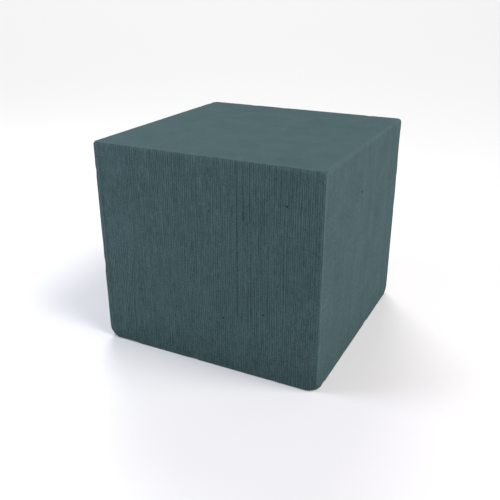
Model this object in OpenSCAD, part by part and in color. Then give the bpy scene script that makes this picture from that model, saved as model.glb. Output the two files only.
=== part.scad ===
// Floral foam brick: one block of open-celled phenolic foam, sawn on all six faces.
// Millimetres, +Z up. The origin is the centre of the face that it stands on.
// -Y is the broad side with the deepest saw lines, and +X is the side next to it.

/* [Block] */
// Width, along X
block_w = 100; // [60:1:240]
// Depth, along Y
block_d = 100; // [60:1:240]
// Height, along Z
block_h = 90; // [40:1:120]

/* [Edges] */
// Rounding of the twelve sawn edges, which stay crisp
edge_r = 0.4; // [0.2:0.05:1.5]

/* [Corners] */
// How far the wear of a bottom corner runs along each of its edges
bottom_corner_reach = 5.2; // [2:0.1:15]
// How far the wear of a top corner runs along each of its edges
top_corner_reach = 3; // [2:0.1:15]
// Roundness of a worn corner: the radius of its rounding for each millimetre of reach
corner_roundness = 1.5; // [1.42:0.01:3]

/* [Hidden] */
foam_colour = [0.32, 0.41, 0.42];
// Length by which a cutting or shaping solid passes the face that it works on
overrun = 2;
// Segments of the round shapes
edge_segments = 32;
corner_segments = 96;

// Rectangle centred on the origin with its four corners rounded by edge_r.
module rounded_rectangle(size_x, size_y) {
    square([size_x - 2 * edge_r, size_y], center = true);
    square([size_x, size_y - 2 * edge_r], center = true);
    for (side_x = [-1, 1], side_y = [-1, 1])
        translate([side_x * (size_x / 2 - edge_r), side_y * (size_y / 2 - edge_r)])
            circle(r = edge_r, $fn = edge_segments);
}

// Block centred on the origin, all twelve edges rounded by edge_r: three bars that cross,
// each of which rounds the four edges along its own length.
module sawn_block() {
    intersection() {
        linear_extrude(height = block_h + 2 * overrun, center = true)
            rounded_rectangle(block_w, block_d);
        rotate([90, 0, 0])
            linear_extrude(height = block_d + 2 * overrun, center = true)
                rounded_rectangle(block_w, block_h);
        rotate([90, 0, 90])
            linear_extrude(height = block_w + 2 * overrun, center = true)
                rounded_rectangle(block_d, block_h);
    }
}

// What is worn off a corner that lies at the origin, with the block on the plus side of
// each axis. The ball left behind meets each of the three edges at reach from the corner.
module worn_off(reach) {
    ball_r = corner_roundness * reach;
    ball_inset = (reach + sqrt(3 * pow(ball_r, 2) - 2 * pow(reach, 2))) / 3;
    difference() {
        translate([-overrun, -overrun, -overrun])
            cube(ball_inset + overrun);
        translate([ball_inset, ball_inset, ball_inset])
            sphere(r = ball_r, $fn = corner_segments);
    }
}

// The wear of the four corners of the face that lies on the plane Z = 0, below the block's
// middle.
module worn_corners(reach) {
    for (turned_x = [0, 1], turned_y = [0, 1])
        mirror([turned_x, 0, 0])
            mirror([0, turned_y, 0])
                translate([-block_w / 2, -block_d / 2, 0])
                    worn_off(reach);
}

module foam_block() {
    color(foam_colour)
        difference() {
            translate([0, 0, block_h / 2])
                sawn_block();
            worn_corners(bottom_corner_reach);
            translate([0, 0, block_h])
                mirror([0, 0, 1])
                    worn_corners(top_corner_reach);
        }
}

foam_block();
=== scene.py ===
# Floral foam brick on a pale table: a sawn block of dry phenolic foam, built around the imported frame.
import math
import bpy
import numpy as np
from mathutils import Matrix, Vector, noise


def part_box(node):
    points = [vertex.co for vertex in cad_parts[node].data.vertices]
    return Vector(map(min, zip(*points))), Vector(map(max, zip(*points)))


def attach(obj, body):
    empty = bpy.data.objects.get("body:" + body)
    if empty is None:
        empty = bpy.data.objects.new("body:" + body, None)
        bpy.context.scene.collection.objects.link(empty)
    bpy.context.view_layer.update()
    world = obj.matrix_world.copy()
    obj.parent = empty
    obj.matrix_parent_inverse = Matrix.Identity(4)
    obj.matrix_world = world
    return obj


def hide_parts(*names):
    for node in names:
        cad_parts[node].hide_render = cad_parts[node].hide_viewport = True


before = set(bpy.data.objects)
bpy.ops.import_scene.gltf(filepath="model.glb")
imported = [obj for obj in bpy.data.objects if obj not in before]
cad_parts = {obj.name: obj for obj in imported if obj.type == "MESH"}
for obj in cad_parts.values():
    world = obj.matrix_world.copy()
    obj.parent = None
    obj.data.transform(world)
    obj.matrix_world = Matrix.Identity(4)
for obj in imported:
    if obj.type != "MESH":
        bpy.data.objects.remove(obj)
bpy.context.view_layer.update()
low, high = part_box("foam_block")
size = high - low
middle = (low + high) / 2
mm = 0.001
tiny = 0.01 * mm
print("frame loaded: block of", [round(side / mm, 1) for side in size], "mm")

# camera, lights and floor

cameraSetup = {
    "lens": 46.16,         # millimetres, on a sensor this wide
    "sensor": 36,
    "azimuth": 25.79,      # degrees round from the front, towards the right
    "elevation": 20.89,
    "distance": 296.1 * mm,    # from the middle of the block
    "aimRight": -3.71 * mm,
    "aimUp": -11.16 * mm,
}

lightSetup = {
    "key": {
        "kind": "SUN",
        "azimuth": 90,
        "elevation": 50,
        "strength": 2.2,
        "spread": 35,      # degrees across, which softens the shadows
        "colour": (1, 1, 1),
    },
    "back": {
        "kind": "SUN",
        "azimuth": 210,
        "elevation": 35,
        "strength": 1.76,
        "spread": 35,
        "colour": (1, 1, 1),
    },
    "fill": {
        "kind": "AREA",
        "azimuth": 300,
        "elevation": 25,
        "strength": 1.3,
        "distance": 0.45,
        "width": 0.3,
        "colour": (0.82, 0.86, 1),
    },
    "side": {
        "kind": "AREA",
        "azimuth": 90,
        "elevation": 25,
        "strength": 0.61,
        "distance": 0.45,
        "width": 0.3,
        "colour": (1, 0.82, 0.86),
    },
}

roomSetup = {
    "sky": (1, 1, 1, 1),
    "skyStrength": 0.25,
    "wall": (0.97, 0.97, 0.97, 1),
    "floorWidth": 12,
    "floorColour": (0.8, 0.8, 0.8, 1),
    "floorRoughness": 0.9,
}


def outwards(azimuth, elevation):
    around, above = math.radians(azimuth), math.radians(elevation)
    return Vector((math.sin(around) * math.cos(above), -math.cos(around) * math.cos(above), math.sin(above)))


def makeCamera():
    back = outwards(cameraSetup["azimuth"], cameraSetup["elevation"])
    right = Vector((0, 0, 1)).cross(back).normalized()
    up = back.cross(right)
    place = middle + back * cameraSetup["distance"]
    aim = middle + right * cameraSetup["aimRight"] + up * cameraSetup["aimUp"]
    bpy.ops.object.camera_add(location=place, rotation=(place - aim).to_track_quat("Z", "Y").to_euler())
    camera = bpy.context.object
    camera.name = "camera"
    camera.data.lens = cameraSetup["lens"]
    camera.data.sensor_width = cameraSetup["sensor"]
    camera.data.clip_start = 10 * mm
    bpy.context.scene.camera = camera


def makeLights():
    for name, light in lightSetup.items():
        back = outwards(light["azimuth"], light["elevation"])
        bpy.ops.object.light_add(
            type=light["kind"],
            location=middle + back * light.get("distance", 1),
            rotation=back.to_track_quat("Z", "Y").to_euler(),
        )
        lamp = bpy.context.object
        lamp.name = name
        lamp.data.energy = light["strength"]
        lamp.data.color = light["colour"]
        if light["kind"] == "SUN":
            lamp.data.angle = math.radians(light["spread"])
        else:
            lamp.visible_camera = False
            lamp.data.shape = "DISK"
            lamp.data.size = light["width"]


def makeRoom():
    world = bpy.data.worlds.new("studio")
    world.use_nodes = True
    nodes, links = world.node_tree.nodes, world.node_tree.links
    skyLight = nodes["Background"]
    skyLight.inputs["Color"].default_value = roomSetup["sky"]
    skyLight.inputs["Strength"].default_value = roomSetup["skyStrength"]
    backWall = nodes.new("ShaderNodeBackground")   # what is seen past the far end of the floor
    backWall.inputs["Color"].default_value = roomSetup["wall"]
    seen = nodes.new("ShaderNodeLightPath")
    either = nodes.new("ShaderNodeMixShader")
    links.new(seen.outputs["Is Camera Ray"], either.inputs["Fac"])
    links.new(skyLight.outputs["Background"], either.inputs[1])
    links.new(backWall.outputs["Background"], either.inputs[2])
    links.new(either.outputs["Shader"], nodes["World Output"].inputs["Surface"])
    bpy.context.scene.world = world
    bpy.ops.mesh.primitive_plane_add(size=roomSetup["floorWidth"], location=(middle.x, middle.y, low.z))
    floor = bpy.context.object
    floor.name = "floor"
    bpy.ops.object.transform_apply(location=True, rotation=True, scale=True)
    paint = bpy.data.materials.new("paleTable")
    paint.use_nodes = True
    shader = paint.node_tree.nodes["Principled BSDF"]
    shader.inputs["Base Color"].default_value = roomSetup["floorColour"]
    shader.inputs["Roughness"].default_value = roomSetup["floorRoughness"]
    floor.data.materials.append(paint)


makeCamera()
makeLights()
makeRoom()
bpy.context.scene.view_settings.view_transform = "Standard"
print("camera, lights and floor placed")

# the block: a bevelled cube, cut into narrow upright strips that can carry the saw lines,
# with a grid of its own on the top and on the bottom

brickShape = {
    "edgeRound": 0.4 * mm,
    "edgeSteps": 3,
    "stripCuts": (11, 29),  # 12 lengths, then each into 30, so a strip is 0.28 mm wide
    "rowCuts": (44,),
    "rowCrowding": 0.84,   # 0 spaces the rows evenly, and towards 1 they crowd to the top and bottom edges
    "lidCells": 44,        # cells along each side of the top and bottom
    "lidMargin": 0.7 * mm,  # from the rounded edge to the first of those cells
    "lidCrowding": 0.75,
    "longEdge": 1 * mm,    # anything longer is an edge to cut, and not part of a bevel
}


def readPlaces(mesh):
    places = np.empty(len(mesh.vertices) * 3, np.float32)
    mesh.vertices.foreach_get("co", places)
    return places.reshape(-1, 3).astype(float)


def writePlaces(mesh, places):
    mesh.vertices.foreach_set("co", places.astype(np.float32).ravel())
    mesh.update()


def readNormals(mesh):
    normals = np.empty(len(mesh.vertices) * 3, np.float32)
    mesh.vertices.foreach_get("normal", normals)
    return normals.reshape(-1, 3).astype(float)


def selectEdges(piece, test):
    bpy.ops.object.mode_set(mode="OBJECT")
    mesh = piece.data
    places = readPlaces(mesh)
    ends = np.empty(len(mesh.edges) * 2, np.int32)
    mesh.edges.foreach_get("vertices", ends)
    ends = ends.reshape(-1, 2)
    chosen = test(places[ends[:, 0]], places[ends[:, 1]])
    mesh.vertices.foreach_set("select", np.zeros(len(mesh.vertices), bool))
    mesh.polygons.foreach_set("select", np.zeros(len(mesh.polygons), bool))
    mesh.edges.foreach_set("select", chosen)
    bpy.ops.object.mode_set(mode="EDIT")


def openEdges(mesh):
    used = np.empty(len(mesh.loops), np.int32)
    mesh.loops.foreach_get("edge_index", used)
    return np.bincount(used, minlength=len(mesh.edges)) == 1


def crowd(share, crowding):
    # share runs from 0 to 1, and comes back drawn towards both ends
    return share - crowding / (2 * math.pi) * np.sin(2 * math.pi * share)


def cutAcross(piece, axis, cuts):
    # the long edges that lie along the axis are cut, which wraps lines right round the block
    for count in cuts:
        selectEdges(piece, lambda one, other: np.abs(other[:, axis] - one[:, axis]) > brickShape["longEdge"])
        bpy.ops.mesh.subdivide(number_cuts=count)


def addLid(piece, level):
    inset = brickShape["edgeRound"] + brickShape["lidMargin"]
    cells = brickShape["lidCells"]
    known = len(piece.data.vertices)
    bpy.ops.object.mode_set(mode="EDIT")
    bpy.ops.mesh.primitive_grid_add(
        x_subdivisions=cells,
        y_subdivisions=cells,
        size=size.x - 2 * inset,
        location=(middle.x, middle.y, level),
    )
    bpy.ops.object.mode_set(mode="OBJECT")
    places = readPlaces(piece.data)
    for axis in (0, 1):
        grid = places[known:, axis]
        share = (grid - grid.min()) / np.ptp(grid)
        length = size[axis] - 2 * inset
        places[known:, axis] = low[axis] + inset + length * crowd(share, brickShape["lidCrowding"])
    writePlaces(piece.data, places)
    rim = openEdges(piece.data)
    selectEdges(
        piece,
        lambda one, other: rim & (np.abs(one[:, 2] - level) < tiny) & (np.abs(other[:, 2] - level) < tiny),
    )
    bpy.ops.mesh.fill(use_beauty=True)
    bpy.ops.object.mode_set(mode="OBJECT")


def startBrick():
    bpy.ops.object.select_all(action="DESELECT")
    bpy.ops.mesh.primitive_cube_add(size=1, location=middle, scale=size)
    piece = bpy.context.object
    piece.name = "foam_brick"
    bpy.ops.object.transform_apply(location=True, rotation=True, scale=True)
    bpy.ops.object.mode_set(mode="EDIT")
    bpy.ops.mesh.select_mode(type="EDGE")
    bpy.ops.mesh.select_all(action="SELECT")
    bpy.ops.mesh.bevel(offset=brickShape["edgeRound"], segments=brickShape["edgeSteps"], affect="EDGES")
    bpy.ops.object.mode_set(mode="OBJECT")
    mesh = piece.data
    lids = [abs(face.normal.z) > 0.99 and face.area > 0.5 * size.x * size.y for face in mesh.polygons]
    mesh.vertices.foreach_set("select", np.zeros(len(mesh.vertices), bool))
    mesh.edges.foreach_set("select", np.zeros(len(mesh.edges), bool))
    mesh.polygons.foreach_set("select", lids)
    bpy.ops.object.mode_set(mode="EDIT")
    bpy.ops.mesh.select_mode(type="FACE")
    bpy.ops.mesh.delete(type="ONLY_FACE")
    bpy.ops.mesh.select_mode(type="EDGE")
    cutAcross(piece, 0, brickShape["stripCuts"])
    cutAcross(piece, 1, brickShape["stripCuts"])
    cutAcross(piece, 2, brickShape["rowCuts"])
    bpy.ops.object.mode_set(mode="OBJECT")
    places = readPlaces(mesh)
    start, length = low.z + brickShape["edgeRound"], size.z - 2 * brickShape["edgeRound"]
    share = (places[:, 2] - start) / length
    inside = (share > 0) & (share < 1)
    places[inside, 2] = start + length * crowd(share[inside], brickShape["rowCrowding"])
    writePlaces(mesh, places)
    for level in (low.z, high.z):
        addLid(piece, level)
    bpy.ops.object.mode_set(mode="EDIT")
    bpy.ops.mesh.select_all(action="SELECT")
    bpy.ops.mesh.normals_make_consistent(inside=False)
    bpy.ops.object.mode_set(mode="OBJECT")
    return piece


brick = startBrick()
print("block meshed:", len(brick.data.vertices), "points,", len(brick.data.polygons), "faces")

# what the saw and handling did to it; every move goes inwards, so the block never outgrows its box

sawCuts = {
    "seed": 21,
    # axis the face looks along, its side, how many strokes, how deep the deepest may be
    "faces": (
        (1, -1, 1500, 0.085 * mm),
        (1, 1, 1500, 0.085 * mm),
        (0, 1, 700, 0.035 * mm),
        (0, -1, 700, 0.035 * mm),
    ),
    "strokeLength": (5 * mm, 34 * mm),
    # the long ones that stand out: axis, side, place across, lowest and highest end, depth
    "longStrokes": (
        (1, -1, 65.2 * mm, 25 * mm, 92 * mm, 0.13 * mm),
        (1, -1, 70.7 * mm, 68 * mm, 92 * mm, 0.12 * mm),
        (1, -1, 71.1 * mm, 24 * mm, 50 * mm, 0.11 * mm),
        (1, -1, 67.8 * mm, 54 * mm, 92 * mm, 0.11 * mm),
        (1, -1, 2.7 * mm, 5 * mm, 92 * mm, 0.11 * mm),
        (1, -1, 58.7 * mm, 54 * mm, 74 * mm, 0.11 * mm),
        (1, -1, 74.4 * mm, 54 * mm, 71 * mm, 0.11 * mm),
        (1, -1, 78.3 * mm, 24 * mm, 60 * mm, 0.11 * mm),
        (1, -1, 52.3 * mm, 63 * mm, 92 * mm, 0.09 * mm),
        (1, -1, 34.2 * mm, 38 * mm, 74 * mm, 0.09 * mm),
        (1, 1, 28.4 * mm, 30 * mm, 92 * mm, 0.12 * mm),
        (1, 1, 61.3 * mm, 12 * mm, 55 * mm, 0.1 * mm),
        (0, -1, 71.5 * mm, 35 * mm, 92 * mm, 0.08 * mm),
    ),
    "strokeEnd": 3 * mm,
    "shallowness": 1.6,    # above 1, most strokes stay shallow
    "leastFacing": 0.05,   # points that turn further from the face than this are left alone
    "waveSize": 32 * mm,
    "waveDepth": 0.05 * mm,
    "grainDepth": 0.012 * mm,
}


def waves(places, waveSize, shift):
    return np.array([noise.noise(Vector(place) / waveSize + Vector(shift)) for place in places])


def markDepths(mesh, depths):
    # how far under the face the foam lies, which the material turns into painted shade
    marks = mesh.attributes.new("cutDepth", "FLOAT", "POINT")
    marks.data.foreach_set("value", depths.astype(np.float32))


def sawFaces(piece):
    dice = np.random.default_rng(sawCuts["seed"])
    places, normals = readPlaces(piece.data), readNormals(piece.data)
    moved = places.copy()
    depths = np.zeros(len(places))
    strips = np.prod([cuts + 1 for cuts in brickShape["stripCuts"]])
    strip = (size.x - 2 * brickShape["edgeRound"]) / strips
    for axis, side, count, deepest in sawCuts["faces"]:
        along = 1 - axis
        facing = np.clip(side * normals[:, axis], 0, 1)
        on = facing > sawCuts["leastFacing"]
        across = places[on, along]
        height = places[on, 2]
        cut = np.zeros(on.sum())
        strokes = []
        for stroke in range(count):
            centre = low.z + size.z * dice.random()
            half = dice.uniform(*sawCuts["strokeLength"]) / 2
            depth = deepest * dice.random() ** sawCuts["shallowness"]
            strokes.append((dice.integers(0, strips + 1), centre - half, centre + half, depth))
        for longAxis, longSide, place, lowest, highest, depth in sawCuts["longStrokes"]:
            if (longAxis, longSide) == (axis, side):
                column = round((place - brickShape["edgeRound"]) / strip)
                strokes.append((column, low.z + lowest, low.z + highest, depth))
        for column, lowest, highest, depth in strokes:
            near = np.abs(across - low[along] - brickShape["edgeRound"] - strip * column) < strip / 2
            inside = np.minimum(height[near] - lowest, highest - height[near])
            reach = np.clip(inside / sawCuts["strokeEnd"] + 0.5, 0, 1)
            cut[near] = np.maximum(cut[near], depth * reach)
        depths[on] = np.maximum(depths[on], cut * facing[on])
        cut += sawCuts["grainDepth"] * dice.random(on.sum())
        moved[on, axis] -= side * cut * facing[on]
    wave = sawCuts["waveDepth"] * (0.5 + 0.5 * waves(places, sawCuts["waveSize"], (4, 9, 2)))
    moved -= normals * np.clip(wave, 0, None)[:, None]
    writePlaces(piece.data, moved)
    markDepths(piece.data, depths)


wornEdges = {
    "seed": 5,
    "reach": 2 * mm,       # no point further than this from the sharp edge is touched
    "always": 0.26 * mm,   # what every edge loses, measured from the sharp edge along both faces together
    "uneven": 0.16 * mm,
    "unevenSize": 3.5 * mm,
    "chipsPerEdge": 5,
    "chipDepth": (0.35 * mm, 0.75 * mm),
    "chipLength": (0.8 * mm, 3.2 * mm),
    "chipUneven": 0.2,
    # the two that stand out: direction of the edge, sides it lies on, place along it, length and depth
    "marks": (
        (2, (1, 1), high.z - 12.4 * mm, 9 * mm, 1.0 * mm),
        (0, (-1, -1), low.x + 9 * mm, 7.5 * mm, 0.95 * mm),
    ),
}


def wearEdges(piece):
    dice = np.random.default_rng(wornEdges["seed"])
    places = readPlaces(piece.data)
    for direction in (0, 1, 2):
        first, second = [axis for axis in (0, 1, 2) if axis != direction]
        for sides in ((-1, -1), (-1, 1), (1, -1), (1, 1)):
            edgeOne = high[first] if sides[0] > 0 else low[first]
            edgeTwo = high[second] if sides[1] > 0 else low[second]
            fromOne = sides[0] * (edgeOne - places[:, first])
            fromTwo = sides[1] * (edgeTwo - places[:, second])
            near = fromOne + fromTwo < wornEdges["reach"]
            along = places[near, direction]
            shift = (3.1 * direction, 5.7 * sides[0], 7.3 * sides[1])
            rough = np.array([
                noise.noise(Vector((spot / wornEdges["unevenSize"], 0, 0)) + Vector(shift))
                for spot in along
            ])
            lost = wornEdges["always"] + wornEdges["uneven"] * np.clip(rough, 0, None)
            chips = []
            for chip in range(wornEdges["chipsPerEdge"]):
                place = low[direction] + size[direction] * dice.random()
                length = dice.uniform(*wornEdges["chipLength"])
                chips.append((place, length, dice.uniform(*wornEdges["chipDepth"])))
            chips += [mark[2:] for mark in wornEdges["marks"] if mark[0] == direction and mark[1] == sides]
            ragged = 1 + wornEdges["chipUneven"] * rough
            for place, length, depth in chips:
                bite = 1 - ((along - place) / length) ** 2
                lost = np.maximum(lost, depth * np.clip(bite, 0, 1) ** 0.5 * ragged)
            short = np.clip(lost - fromOne[near] - fromTwo[near], 0, None) / 2
            places[near, first] -= sides[0] * short
            places[near, second] -= sides[1] * short
    writePlaces(piece.data, places)


wornCorners = {
    # sides the corner lies on, and how far its wear runs along each of its edges
    "reach": {
        (-1, -1, -1): 6 * mm,
        (1, -1, -1): 6.3 * mm,
        (1, 1, -1): 4.8 * mm,
        (-1, 1, -1): 5.2 * mm,
        (-1, -1, 1): 1.9 * mm,
        (1, -1, 1): 3 * mm,
        (1, 1, 1): 3 * mm,
        (-1, 1, 1): 3 * mm,
    },
    "roundness": 1.5,       # radius of the worn surface as a share of its reach
    "uneven": 0.22 * mm,
    "unevenSize": 1.6 * mm,
}


def wearCorners(piece):
    places = readPlaces(piece.data)
    for (x, y, z), reach in wornCorners["reach"].items():
        radius = wornCorners["roundness"] * reach
        inset = (reach + math.sqrt(3 * radius ** 2 - 2 * reach ** 2)) / 3
        inwards = Vector((-x, -y, -z))
        corner = middle - Vector([size[axis] / 2 * inwards[axis] for axis in (0, 1, 2)])
        ball = corner + inset * inwards
        deep = (places - np.array(corner)) * np.array(inwards)
        near = (deep < inset).all(axis=1)
        arms = places[near] - np.array(ball)
        far = np.linalg.norm(arms, axis=1)
        rough = np.array([
            noise.fractal(Vector(place) / wornCorners["unevenSize"], 0.6, 2, 3)
            for place in places[near]
        ])
        limit = radius - wornCorners["uneven"] * np.clip(0.4 + rough, 0, None)
        scale = np.where(far > limit, limit / far, 1)
        places[near] = np.array(ball) + arms * scale[:, None]
    writePlaces(piece.data, places)


sawFaces(brick)
wearEdges(brick)
wearCorners(brick)
print("saw lines, worn edges and worn corners shaped")

# pinholes: small uneven balls just under the skin, cut away together

pinholes = {
    "seed": 8,
    # the holes that stand out: axis the face looks along, its side, place across, height, width
    "seen": (
        (1, -1, 53.2 * mm, 68.7 * mm, 0.78 * mm),
        (1, -1, 85.6 * mm, 75.4 * mm, 1.1 * mm),
        (1, -1, 58.7 * mm, 23.7 * mm, 1 * mm),
        (1, -1, 76.6 * mm, 29.3 * mm, 1.08 * mm),
        (1, -1, 11.2 * mm, 77 * mm, 0.7 * mm),
        (1, -1, 65.5 * mm, 46.2 * mm, 0.7 * mm),
        (1, -1, 65.1 * mm, 70.3 * mm, 0.42 * mm),
        (1, -1, 56.5 * mm, 49.1 * mm, 0.55 * mm),
        (1, -1, 82.7 * mm, 43.5 * mm, 0.5 * mm),
        (1, -1, 44.7 * mm, 39.7 * mm, 0.5 * mm),
        (1, -1, 39.2 * mm, 75.6 * mm, 0.5 * mm),
        (0, 1, 43.5 * mm, 70.6 * mm, 1.4 * mm),
        (0, 1, 25 * mm, 76 * mm, 0.5 * mm),
    ),
    "others": {(1, -1): 10, (1, 1): 18, (0, 1): 8, (0, -1): 12, (2, 1): 8, (2, -1): 8},
    "otherWidth": (0.35 * mm, 0.6 * mm),
    "sunk": 0.4,       # share of the width that the ball's centre lies under the face
    "jitter": 0.12,    # how far a ball's points wander, as a share of its width
    "margin": 0.06,    # share of each side kept free of the scattered holes
    "merge": 0.001 * mm,   # points closer than this become one after the cut
    "smoothAngle": 35,
}


def makePinholes():
    dice = np.random.default_rng(pinholes["seed"])
    margin = pinholes["margin"]
    spots = []
    for axis, side, across, height, width in pinholes["seen"]:
        face = high[axis] if side > 0 else low[axis]
        place = Vector((0, 0, low.z + height))
        place[axis] = face - side * pinholes["sunk"] * width
        place[1 - axis] = low[1 - axis] + across
        spots.append((place, width, axis, face))
    for (axis, side), count in pinholes["others"].items():
        face = high[axis] if side > 0 else low[axis]
        for spot in range(count):
            width = dice.uniform(*pinholes["otherWidth"])
            place = low + Vector([size[other] * dice.uniform(margin, 1 - margin) for other in (0, 1, 2)])
            place[axis] = face - side * pinholes["sunk"] * width
            spots.append((place, width, axis, face))
    bpy.ops.object.select_all(action="DESELECT")
    balls = []
    for place, width, axis, face in spots:
        bpy.ops.mesh.primitive_ico_sphere_add(subdivisions=2, radius=width / 2, location=place)
        ball = bpy.context.object
        bpy.ops.object.transform_apply(location=True, rotation=True, scale=True)
        points = readPlaces(ball.data)
        points += (dice.random(points.shape) - 0.5) * 2 * pinholes["jitter"] * width
        writePlaces(ball.data, points)
        # each hole's wall carries its depth, which the material turns into painted shade
        markDepths(ball.data, np.abs(points[:, axis] - face))
        balls.append(ball)
    bpy.ops.object.select_all(action="DESELECT")
    for ball in balls:
        ball.select_set(True)
    bpy.context.view_layer.objects.active = balls[0]
    bpy.ops.object.join()
    return bpy.context.object


def cutAway(piece, cutter):
    bpy.ops.object.select_all(action="DESELECT")
    bpy.context.view_layer.objects.active = piece
    piece.select_set(True)
    holes = piece.modifiers.new("holes", "BOOLEAN")
    holes.operation = "DIFFERENCE"
    holes.solver = "MANIFOLD"
    holes.object = cutter
    bpy.ops.object.modifier_apply(modifier=holes.name)
    bpy.data.objects.remove(cutter)


cutAway(brick, makePinholes())
bpy.ops.object.mode_set(mode="EDIT")
bpy.ops.mesh.select_all(action="SELECT")
bpy.ops.mesh.remove_doubles(threshold=pinholes["merge"])
bpy.ops.object.mode_set(mode="OBJECT")
bpy.ops.object.shade_smooth_by_angle(angle=math.radians(pinholes["smoothAngle"]))
print("pinholes cut:", len(brick.data.polygons), "faces")

# the foam itself

foamLook = {
    "tone": (0.0545, 0.0935, 0.0975, 1),
    "contrast": 0.6,       # how far the palest and darkest grains stand from that tone
    "grainSize": 0.3 * mm,
    "grain": 1.5,
    "poreSize": 0.34 * mm,
    "pores": 0.55,
    "pitSize": 1.3 * mm,
    "pits": 0.5,
    "streakWidth": 0.3 * mm,
    "streakLength": 17 * mm,
    "streaks": 0.65,
    "hairWidth": 0.24 * mm,
    "hairLength": 4.5 * mm,
    "hairs": 1.2,
    "cloudSize": 13 * mm,
    "clouds": 0.36,
    "sawPitch": 0.88 * mm,   # the wire leaves a fine even ribbing, which comes and goes
    "sawMarks": 0.22,
    "wanderWidth": 5 * mm,   # how the ribbing drifts sideways
    "wanderLength": 60 * mm,
    "wander": 16,
    "patchWidth": 9 * mm,    # and where it fades out
    "patchLength": 14 * mm,
    "patchContrast": 2.5,
    "patchLevel": 0.6,
    "bandWidth": 7 * mm,
    "bandLength": 400 * mm,
    "bands": 0.3,
    "sideStreaks": 0.4,    # how much the left and right faces show of what the front and back show
    "faceStarts": (0.3 * mm, 0.9 * mm),   # a face's own marks fade out between these distances behind it
    "edgeDust": 0.11,      # how much paler the rubbed edges are
    "edgeWidth": 2.4 * mm,
    "paintedFootShade": 0.07,     # painted shade: how much darker the foot is, towards the floor
    "paintedShadeHeight": 16 * mm,
    "shallowCut": 0.06 * mm,   # cuts no deeper than this keep the tone around them
    "paintedCutShade": 8 / mm,    # painted shade: how much darker a deeper cut or pinhole wall is, for each unit of depth
    "reliefDepth": 0.09 * mm,
    "lineRelief": 0.5,
    "grainRelief": 0.6,
    "dustGrain": 0.2,
    "level": 0.57,         # where on the ramp a point without any mark stands
    "roughness": 1,
    "shine": 0.05,
}


class Wire:
    def __init__(self, tree, socket):
        self.tree = tree
        self.socket = socket

    def reckon(self, operation, *values, clamp=False):
        node = self.tree.nodes.new("ShaderNodeMath")
        node.operation = operation
        node.use_clamp = clamp
        for slot, value in zip(node.inputs, values):
            if isinstance(value, Wire):
                self.tree.links.new(value.socket, slot)
            else:
                slot.default_value = value
        return Wire(self.tree, node.outputs[0])

    def __add__(self, other):
        return self.reckon("ADD", self, other)

    def __radd__(self, other):
        return self.reckon("ADD", other, self)

    def __sub__(self, other):
        return self.reckon("SUBTRACT", self, other)

    def __rsub__(self, other):
        return self.reckon("SUBTRACT", other, self)

    def __mul__(self, other):
        return self.reckon("MULTIPLY", self, other)

    def __rmul__(self, other):
        return self.reckon("MULTIPLY", other, self)

    def __abs__(self):
        return self.reckon("ABSOLUTE", self)


class MaterialMaker:
    def __init__(self, name):
        self.material = bpy.data.materials.new(name)
        self.material.use_nodes = True
        self.tree = self.material.node_tree
        self.shader = self.tree.nodes["Principled BSDF"]

    def add(self, kind, settings=None, sockets=None, output=None):
        node = self.tree.nodes.new(kind)
        for name, value in (settings or {}).items():
            if name == "stops":
                ramp = node.color_ramp
                while len(ramp.elements) < len(value):
                    ramp.elements.new(0.5)
                for element, (place, colour) in zip(ramp.elements, value):
                    element.position = place
                    element.color = colour
            else:
                setattr(node, name, value)
        for name, value in (sockets or {}).items():
            self.join(node, name, value)
        shown = [socket for socket in node.outputs if socket.enabled]
        if output is None:
            return Wire(self.tree, shown[0])
        return Wire(self.tree, next(socket for socket in shown if socket.name == output))

    def join(self, node, name, value):
        if isinstance(name, int):
            slot = node.inputs[name]
        else:
            slot = next(socket for socket in node.inputs if socket.name == name and socket.enabled)
        if isinstance(value, Wire):
            self.tree.links.new(value.socket, slot)
        else:
            slot.default_value = value


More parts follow.
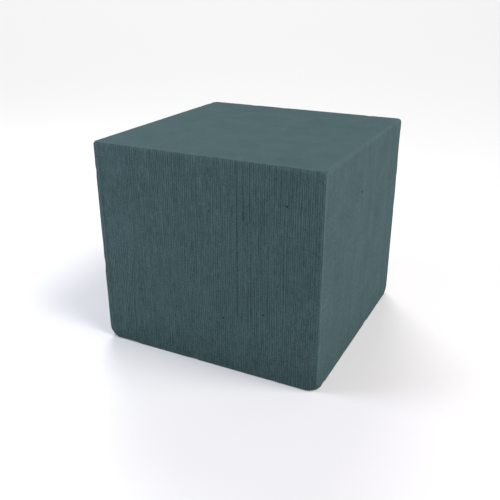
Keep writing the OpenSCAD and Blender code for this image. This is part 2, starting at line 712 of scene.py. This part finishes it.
def makeFoam():
    maker = MaterialMaker("dryFoam")
    look = foamLook
    place = maker.add("ShaderNodeTexCoord", output="Object")
    parts = {}
    for letter in "XYZ":
        parts[letter] = maker.add("ShaderNodeSeparateXYZ", sockets={"Vector": place}, output=letter)
    fromSides = size.x / 2 - abs(parts["X"] - middle.x)
    fromFront = size.y / 2 - abs(parts["Y"] - middle.y)
    fromEnds = size.z / 2 - abs(parts["Z"] - middle.z)

    def toned(factor):
        return [channel * factor for channel in look["tone"][:3]] + [1]

    def closeTo(distance, near, far):
        # 1 at the near distance, fading to 0 at the far one
        return maker.add(
            "ShaderNodeMapRange",
            {"interpolation_type": "SMOOTHSTEP"},
            {"Value": distance, "From Min": near, "From Max": far, "To Min": 1, "To Max": 0},
        )

    def stretched(width, length, shift):
        return maker.add(
            "ShaderNodeVectorMath",
            {"operation": "MULTIPLY_ADD"},
            {0: place, 1: (1 / width, 1 / width, 1 / length), 2: shift},
        )

    def roughNoise(vector, detail, roughness):
        found = maker.add(
            "ShaderNodeTexNoise",
            {"noise_dimensions": "3D"},
            {"Vector": vector, "Scale": 1, "Detail": detail, "Roughness": roughness},
        )
        return found - 0.5

    def poreField(size, near, far, scarce, shift):
        # round dark openings, one to a cell, of random strength; the weakest are left out
        found = {"Vector": stretched(size, size, shift), "Scale": 1}
        distance = maker.add("ShaderNodeTexVoronoi", {"feature": "F1"}, found, output="Distance")
        tint = maker.add("ShaderNodeTexVoronoi", {"feature": "F1"}, found, output="Color")
        chance = maker.add("ShaderNodeSeparateColor", sockets={"Color": tint}, output="Red")
        kept = chance.reckon("SUBTRACT", chance, scarce, clamp=True) * (1 / (1 - scarce))
        return closeTo(distance, near, far) * kept

    sawn = closeTo(fromFront, *look["faceStarts"])
    sawn = sawn.reckon("MAXIMUM", sawn, closeTo(fromSides, *look["faceStarts"]) * look["sideStreaks"])
    widest = fromSides.reckon("MAXIMUM", fromSides, fromFront)
    widest = widest.reckon("MAXIMUM", widest, fromEnds)
    fromEdge = fromSides + fromFront + fromEnds - widest
    streaks = roughNoise(stretched(look["streakWidth"], look["streakLength"], (3, 8, 5)), 3, 0.65)
    hairs = roughNoise(stretched(look["hairWidth"], look["hairLength"], (7, 1, 9)), 2, 0.6)
    grain = roughNoise(stretched(look["grainSize"], look["grainSize"], (2, 6, 4)), 3, 0.7)
    clouds = roughNoise(stretched(look["cloudSize"], look["cloudSize"], (1, 5, 2)), 5, 0.7)
    bands = roughNoise(stretched(look["bandWidth"], look["bandLength"], (9, 2, 6)), 2, 0.6)
    wander = roughNoise(stretched(look["wanderWidth"], look["wanderLength"], (6, 3, 1)), 1, 0.5)
    patchy = roughNoise(stretched(look["patchWidth"], look["patchLength"], (2, 2, 8)), 2, 0.5)
    present = patchy.reckon("MULTIPLY_ADD", patchy, look["patchContrast"], look["patchLevel"], clamp=True)
    ribbing = (parts["X"] + parts["Y"]) * (2 * math.pi / look["sawPitch"]) + wander * look["wander"]
    ribbing = ribbing.reckon("SINE", ribbing) * present
    pores = poreField(look["poreSize"], 0.1, 0.5, 0.1, (0, 0, 0))
    pits = poreField(look["pitSize"], 0.06, 0.22, 0.55, (5, 5, 5))
    lines = sawn * (streaks * look["streaks"] + hairs * look["hairs"] + ribbing * look["sawMarks"])
    lines = lines + bands * look["bands"] * closeTo(fromSides, *look["faceStarts"])
    dust = closeTo(fromEdge, 0.2 * mm, look["edgeWidth"]) * (look["edgeDust"] + grain * look["dustGrain"])
    # painted shade: darker towards the foot of the block, near the floor
    shadeAtFoot = closeTo(parts["Z"], low.z, low.z + look["paintedShadeHeight"]) * look["paintedFootShade"]
    openings = pores * look["pores"] + pits * look["pits"]
    # painted shade in the deeper saw cuts and on the pinholes' walls, by their depth
    cut = maker.add("ShaderNodeAttribute", {"attribute_name": "cutDepth"}, output="Fac") - look["shallowCut"]
    cut = cut.reckon("MAXIMUM", cut, 0) * look["paintedCutShade"]
    shade = look["level"] - cut + lines + grain * look["grain"] + clouds * look["clouds"]
    shade = shade - openings + dust - shadeAtFoot
    colour = maker.add(
        "ShaderNodeValToRGB",
        {"stops": ((0, toned(1 - look["contrast"])), (0.5, look["tone"]), (1, toned(1 + look["contrast"])))},
        {"Fac": shade},
        output="Color",
    )
    relief = maker.add(
        "ShaderNodeBump",
        sockets={
            "Height": lines * look["lineRelief"] + grain * look["grainRelief"] - openings,
            "Distance": look["reliefDepth"],
            "Strength": 1,
        },
    )
    maker.join(maker.shader, "Base Color", colour)
    maker.join(maker.shader, "Normal", relief)
    maker.shader.inputs["Roughness"].default_value = look["roughness"]
    maker.shader.inputs["Specular IOR Level"].default_value = look["shine"]
    return maker.material


brick.data.materials.clear()
brick.data.materials.append(makeFoam())
print("foam material made")
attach(brick, "root")
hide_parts("foam_block")
